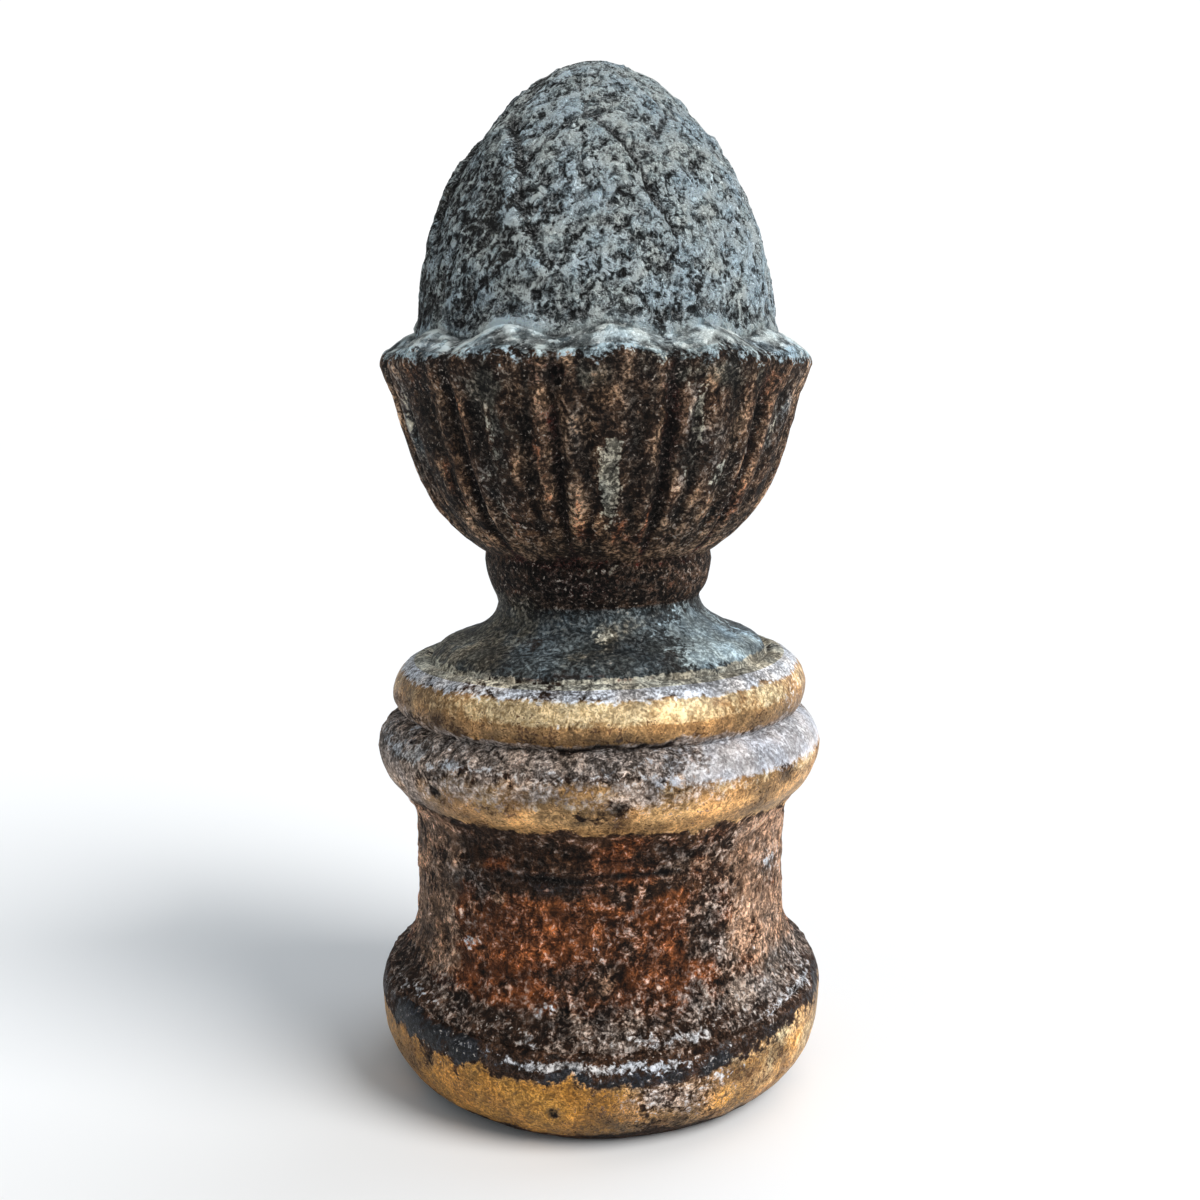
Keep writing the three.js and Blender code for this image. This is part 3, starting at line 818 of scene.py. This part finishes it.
# %% [markdown]
# ## Grain shared by the finishes
# The same weather has worked on every part, so one group of nodes gives all the random grain: flakes, crumbs
# and dust, and thin curved lines: cracks between flakes, a painted highlight on the lit rims of flakes and
# crumbs, and a painted shadow beside them. Those lines are contours of the same noise, so they follow its
# flakes. It all reads Object coordinates, so it stays on the finial from any side. A second group lays a coat
# of paint over what is below it.

# %% Grain group
FLOAT, COLOR, VECTOR = "NodeSocketFloat", "NodeSocketColor", "NodeSocketVector"
WANDER_REACH = 0.0020


def new_group(name, inputs, outputs):
    """An empty shader group with named inputs and outputs."""
    net = bpy.data.node_groups.new(name, "ShaderNodeTree")
    for label, kind in inputs:
        net.interface.new_socket(label, in_out="INPUT", socket_type=kind)
    for label, kind in outputs:
        net.interface.new_socket(label, in_out="OUTPUT", socket_type=kind)
    return net, net.nodes.new("NodeGroupInput").outputs, net.nodes.new("NodeGroupOutput").inputs


def noise(net, place, scale, detail, roughness):
    """Noise with so many lumps to the metre, whose values lie mostly between 0.3 and 0.7."""
    inputs = {"Vector": place, "Scale": scale, "Detail": detail, "Roughness": roughness}
    return put(net, "TexNoise", inputs).outputs[0]


def widened(net, value, contrast):
    """A value drawn away from its middle, so that noise fills the range from 0 to 1."""
    return times(net, value, contrast, 0.5 - 0.5 * contrast, clamp=True)


def contour(net, lumpy, level, sharpness):
    """1 on the thin curved lines where the noise passes a level, falling to 0 beside them."""
    off_line = calc(net, "ABSOLUTE", calc(net, "SUBTRACT", lumpy, level))
    return times(net, off_line, -sharpness, 1.0, clamp=True)


def broken_contour(net, lumpy, level, sharpness, other, gain, start):
    """A contour that is left only as far as gain x other + start says."""
    left = times(net, other, gain, start, clamp=True)
    return times(net, contour(net, lumpy, level, sharpness), left)


def build_grain():
    """Random fields between 0 and 1. Flake, Crumb and Dust are noise at about 2.5, 1.2 and 0.5 millimetres,
    and Chip is flakes broken up by crumbs. Scale is one random tone for each flake, and Rim is 0 at its edge.
    Crack is 1 on short lines between flakes, Lit crest is 1 on the lit rims of flakes and crumbs as a painted
    highlight, and Shadow is 1 on the painted shadow lines beside those."""
    labels = ["Flake", "Crumb", "Dust", "Chip", "Scale", "Rim", "Crack", "Lit crest", "Shadow"]
    net, given, result = new_group("weather grain", [("Place", VECTOR)], [(n, FLOAT) for n in labels])
    wander = put(net, "TexNoise", {"Vector": given["Place"], "Scale": 330.0, "Detail": 1.0}).outputs[1]
    shift = scaled(net, wander, WANDER_REACH)
    place = put(net, "VectorMath", {0: given["Place"], 1: shift}, operation="ADD").outputs[0]
    coarse = noise(net, place, 400.0, 4.0, 0.64)
    fine = noise(net, place, 900.0, 3.0, 0.6)
    flake = widened(net, coarse, 2.8)
    crumb = widened(net, fine, 2.9)
    dust = widened(net, noise(net, given["Place"], 1900.0, 1.0, 0.5), 3.0)
    chip = widened(net, times(net, flake, 0.62, times(net, crumb, 0.38)), 1.3)
    cells = put(net, "TexVoronoi", {"Vector": place, "Scale": 430.0}).outputs
    scale = put(net, "SeparateColor", {0: cells["Color"]}).outputs[0]
    rim = put(net, "MapRange", {0: cells["Distance"], 1: 0.72, 2: 0.45}).outputs[0]
    crack = broken_contour(net, coarse, 0.47, 22.0, crumb, -2.2, 1.5)
    # painted highlight lines on the lit rims of flakes and crumbs, and below them painted shadow lines beside
    # those rims
    lit_crest = broken_contour(net, fine, 0.55, 42.0, flake, 1.5, -0.1)
    lip = broken_contour(net, coarse, 0.53, 36.0, crumb, 1.6, -0.2)
    lit_crest = calc(net, "MAXIMUM", lit_crest, lip)
    shadow = contour(net, fine, 0.48, 26.0)
    for label, value in zip(labels, (flake, crumb, dust, chip, scale, rim, crack, lit_crest, shadow)):
        net.links.new(value, result[label])
    return net


def build_coat():
    """A coat of paint over what is below it. It is left where cover x (1 + edge) + breakup - 1 is over 0, and
    the edge says over how much of that the paint goes from gone to whole."""
    inputs = [(label, COLOR) for label in ("Below", "Paint", "Worn paint")]
    inputs += [(label, FLOAT) for label in ("Cover", "Breakup", "Edge", "Tone")]
    net, given, result = new_group("coat of paint", inputs, [("Color", COLOR), ("Mask", FLOAT)])
    reach = times(net, given["Cover"], calc(net, "ADD", given["Edge"], 1.0))
    over = calc(net, "SUBTRACT", calc(net, "ADD", reach, given["Breakup"]), 1.0)
    mask = calc(net, "DIVIDE", over, given["Edge"], clamp=True)
    paint = lay(net, given["Tone"], given["Worn paint"], given["Paint"])
    net.links.new(lay(net, mask, given["Below"], paint), result["Color"])
    net.links.new(mask, result["Mask"])
    return net


GRAIN = build_grain()
COAT = build_coat()
print("groups:", [g.name for g in bpy.data.node_groups])

# %% [markdown]
# ## Finishes
# Each finish is a stack of coats from the iron outwards. A coat has its cover, two tones of paint, the grain
# that breaks its edge, its thickness and its shine. The thicknesses add up to the height for the bump, so a
# flake's edge catches light where the colour changes. Grain, cracks, painted highlights on lit rims, painted
# shadows, flecks and pits then go over everything, as does the painted light and shade of the tone. The grain
# works as a power, so it darkens and lightens in steps that look equal. A soft limit at the end keeps the
# palest paint from turning into flat white patches.

# %% Finish from a stack of coats
Coat = namedtuple(
    "Coat", "cover paint worn_paint edge thick rough share breakup tone metal gloss",
    defaults=(1.0, "Chip", "Crumb", 0.0, 0.0),
)
PLAIN = {"rough": 0.75, "metal": 0.0, "gloss": 0.0}
SOCKETS = {"rough": "Roughness", "metal": "Metallic", "gloss": "Coat Weight"}
IRON_RELIEF = 0.35


def field(net, name):
    """A number stored on the mesh."""
    return put(net, "Attribute", attribute_name=name).outputs["Fac"]


def mixture(net, grain, shares):
    """The sum of grain fields, each times its share."""
    total = 0.0
    for label, share in shares.items():
        total = times(net, grain[label], share, total)
    return total


def lay_coats(net, grain, iron, stack):
    """The colour, the height and the shine of a stack of coats over iron of two tones."""
    shade = lay(net, grain["Flake"], colour(iron[0]), colour(iron[1]))
    height = times(net, grain["Flake"], IRON_RELIEF)
    state = {key: value for key, value in PLAIN.items() if any(getattr(coat, key) != value for coat in stack)}
    for coat in stack:
        step = put(net, "Group", {
            "Below": shade, "Cover": times(net, field(net, coat.cover), coat.share),
            "Breakup": grain[coat.breakup], "Edge": coat.edge, "Paint": colour(coat.paint),
            "Worn paint": colour(coat.worn_paint), "Tone": grain[coat.tone],
        }, node_tree=COAT).outputs
        shade = step["Color"]
        height = times(net, step["Mask"], coat.thick, height)
        for key, now in state.items():
            change = calc(net, "SUBTRACT", getattr(coat, key), now)
            state[key] = times(net, step["Mask"], change, now)
    return shade, height, state


print("kinds of shine:", ", ".join(SOCKETS.values()))

# %% Weather over the coats
GRIT = ("Crumb", "Flake", "Dust", "Scale")
MIDDLE_GRIT = 0.52
FLECK_COVER, FLECK_SHARPNESS = 0.85, 14.0
PIT_DARKNESS, PIT_SHARPNESS = 0.7, 9.0
WARM, COOL = (1.08, 1.0, 0.91, 1), (0.97, 1.0, 1.03, 1)
BRIGHTEST = 0.96
KNEE = 4.0


def weathered(net, grain, shade, look):
    """A colour with the grain's light and dark and the tone's painted light and shade over it, then cracks,
    painted highlights on lit rims, painted shadows, pale flecks and pits. It also gives the masks of the last
    two."""
    gritty = field(net, "grit")
    fleck_paint = colour(look["fleck_paint"])
    warmth = lay(net, field(net, "hue"), WARM, COOL)
    shade = put(net, "VectorMath", {0: shade, 1: warmth}, operation="MULTIPLY").outputs[0]
    swing = calc(net, "SUBTRACT", mixture(net, grain, {n: look[n] for n in GRIT}), MIDDLE_GRIT)
    # the tone field carries painted light and shade
    tone = calc(net, "ADD", field(net, "tone"), times(net, swing, gritty))
    shade = scaled(net, shade, calc(net, "POWER", look["contrast"], tone))
    crack, lit_crest, shadow = (times(net, grain[n], gritty) for n in ("Crack", "Lit crest", "Shadow"))
    edge = times(net, calc(net, "SUBTRACT", grain["Rim"], 1.0), look["rims"], 1.0)
    shade = scaled(net, shade, times(net, crack, -look["cracks"], edge))
    # painted highlight on the lit crests, then whitened towards the pale fleck paint
    shade = scaled(net, shade, times(net, lit_crest, look["lit_crests"], 1.0))
    shade = lay(net, times(net, lit_crest, look["lit_crest_whitening"], clamp=True), shade, fleck_paint)
    # painted shadow beside the lit crests
    shade = scaled(net, shade, times(net, shadow, -look["shadows"], 1.0))
    bar = times(net, field(net, "flecks"), -0.3, 1.0)
    over_bar = calc(net, "SUBTRACT", mixture(net, grain, {"Crumb": 0.7, "Dust": 0.3}), bar)
    fleck = times(net, over_bar, FLECK_SHARPNESS, clamp=True)
    shade = lay(net, times(net, fleck, FLECK_COVER), shade, fleck_paint)
    pit_level = times(net, field(net, "crust"), 0.12, 0.08)
    under = calc(net, "SUBTRACT", pit_level, mixture(net, grain, {"Crumb": 0.6, "Flake": 0.4}))
    pit = times(net, under, PIT_SHARPNESS, clamp=True)
    return scaled(net, shade, times(net, pit, -PIT_DARKNESS, 1.0)), fleck, pit


def softly_limited(net, shade):
    """A colour times (1 + (brightness / brightest)^knee)^(-1/knee). That leaves dark paint as it is, and no
    paint gets past the brightest."""
    light = calc(net, "DIVIDE", put(net, "RGBToBW", {0: shade}).outputs[0], BRIGHTEST)
    knee = calc(net, "ADD", calc(net, "POWER", light, KNEE), 1.0)
    return scaled(net, shade, calc(net, "POWER", knee, -1 / KNEE))


print("paint stays under", BRIGHTEST)

# %% One finish
RELIEF = {"Flake": 0.22, "Crumb": 0.4, "Dust": 0.12, "Crack": -0.35, "Lit crest": 0.3, "Shadow": -0.25}
COAT_ROUGHNESS = 0.28


def old_paint(name, iron, stack, look):
    """A finish made of coats over iron. The look says how the grain is mixed and how strong its light and
    dark are, how deep the bump is in millimetres, how much the painted highlight on lit crests lightens and
    how far it is whitened to the pale fleck paint, how much painted shadows, flake rims and cracks darken,
    and how much the surface shines."""
    made = bpy.data.materials.new(name)
    made.use_nodes = True
    net = made.node_tree
    shader = net.nodes["Principled BSDF"].inputs
    place = put(net, "TexCoord").outputs["Object"]
    grain = put(net, "Group", {"Place": place}, node_tree=GRAIN).outputs
    shade, height, state = lay_coats(net, grain, iron, stack)
    shade, fleck, pit = weathered(net, grain, shade, look)
    height = calc(net, "ADD", height, mixture(net, grain, RELIEF))
    height = times(net, pit, -0.25, times(net, fleck, 0.15, height))
    height = times(net, height, field(net, "crust"))
    bump = put(net, "Bump", {"Strength": 1.0, "Distance": look["depth"] * MM, "Height": height})
    net.links.new(softly_limited(net, shade), shader["Base Color"])
    net.links.new(bump.outputs[0], shader["Normal"])
    for key, now in state.items():
        net.links.new(now, shader[SOCKETS[key]])
    shader["Specular IOR Level"].default_value = look["shine"]
    shader["Coat Roughness"].default_value = COAT_ROUGHNESS
    return made


print("finish maker ready, with relief from", len(RELIEF), "kinds of grain")

# %% The three finishes
LOOKS = {
    # on the nut, on the cup and on the base
    "Crumb": (0.22, 0.4, 0.32), "Flake": (0.3, 0.24, 0.22), "Dust": (0.24, 0.24, 0.34),
    "Scale": (0.24, 0.12, 0.12), "contrast": (60.0, 28.0, 22.0), "depth": (3.2, 1.4, 1.0),
    # the first two entries here set the painted highlight on crests and how far it is whitened, the third the
    # painted shadow beside them
    "lit_crests": (2.4, 1.2, 0.9), "lit_crest_whitening": (0.7, 0.22, 0.12), "shadows": (0.85, 0.6, 0.45),
    "rims": (0.25, 0.15, 0.12), "cracks": (0.7, 0.6, 0.6), "shine": (0.25, 0.15, 0.15),
    "fleck_paint": ("#f0f4f3", "#b9aea3", "#cbc4bc"),
}
nut_look, cup_look, base_look = (dict(zip(LOOKS, values)) for values in zip(*LOOKS.values()))

# cover, paint, worn paint, softness of the edge, thickness, roughness
nut_finish = old_paint("nut_crust", ("#1c1f21", "#464843"), [
    # pale coats whose cover is thicker on the upper right, partly as painted light
    Coat("pale", "#5f6a6f", "#33383a", 0.22, 0.3, 0.85, share=1.45),
    Coat("pale", "#a9b5ba", "#5b686e", 0.12, 0.4, 0.8, tone="Scale"),
], nut_look)
cup_finish = old_paint("cup_paint", ("#1f130e", "#5a4434"), [
    Coat("slate", "#5c666a", "#24282a", 0.8, 0.12, 0.5),
    Coat("olive", "#716d62", "#37342b", 0.8, 0.12, 0.6),
    Coat("rust", "#78614d", "#3a2c21", 1.0, 0.15, 0.7),
    Coat("ember", "#965c3c", "#4f2719", 0.8, 0.15, 0.7),
    # pale coat whose cover is partly painted light on the right of the rim and of the foot
    Coat("pale", "#aec2cc", "#7c8f98", 0.3, 0.3, 0.7),
    Coat("chalk", "#c8c5b6", "#8f8c80", 0.3, 0.3, 0.8),
    # dirt and painted shade in the valleys and creases
    Coat("dirt_and_painted_shade", "#3f170f", "#150706", 0.8, -0.2, 0.8),
], cup_look)
base_finish = old_paint("base_paint", ("#22130b", "#5a3e2b"), [
    Coat("navy", "#151924", "#07080b", 0.5, 0.1, 0.5, gloss=0.2),
    Coat("brick", "#874d2a", "#42240f", 0.7, 0.15, 0.65, tone="Flake"),
    # tan paint, partly painted light on the sides of the drum
    Coat("tan", "#b9947a", "#7c5f4b", 0.7, 0.2, 0.7),
    Coat("gold", "#bf9663", "#8f6c43", 0.5, 0.1, 0.5, metal=0.2, gloss=0.2),
    Coat("amber", "#c48e3c", "#875c20", 0.5, 0.0, 0.5, metal=0.2, gloss=0.2),
    # pale gold laid on as a painted highlight
    Coat("painted_highlight_gold", "#dbc69f", "#b1976b", 0.7, 0.05, 0.55, metal=0.15, gloss=0.1),
    Coat("specks", "#5a4028", "#2a1b10", 0.2, -0.1, 0.7, breakup="Crumb"),
    Coat("grime", "#b4a79f", "#75655b", 0.7, 0.2, 0.75),
    # painted reflection of the sky on the right of the middle ring's upper slope
    Coat("painted_sky_reflection", "#d3d6df", "#a5a1a6", 0.7, 0.1, 0.45, gloss=0.3),
    Coat("chalk", "#d6d9e0", "#9a9a9e", 0.4, 0.2, 0.5, gloss=0.3),
    # dirt and painted shade in the creases, the groove and round the bottom edge
    Coat("dirt_and_painted_shade", "#241711", "#0d0907", 0.8, -0.2, 0.8),
], base_look)
print("finishes:", nut_finish.name, cup_finish.name, base_finish.name)

# %% Dress the casting
BASE_TOP = 119.9
CUP_TOP = 203.9

for finish in (base_finish, cup_finish, nut_finish):
    casting_mesh.materials.append(finish)
row_heights = np.hstack([np.zeros(len(UNDERSIDE_RINGS)), outline[:, 1]])
row_finish = (row_heights[:-1] > BASE_TOP).astype(int) + (row_heights[:-1] > CUP_TOP)
finish_index = np.hstack([np.repeat(row_finish, COLUMNS), np.zeros(COLUMNS), np.full(COLUMNS, 2)])
casting_mesh.polygons.foreach_set("material_index", finish_index.astype(np.int32))
casting_mesh.update()
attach(casting, "root")
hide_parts("acorn_finial")
print("faces in each finish:", np.bincount(finish_index.astype(int)))
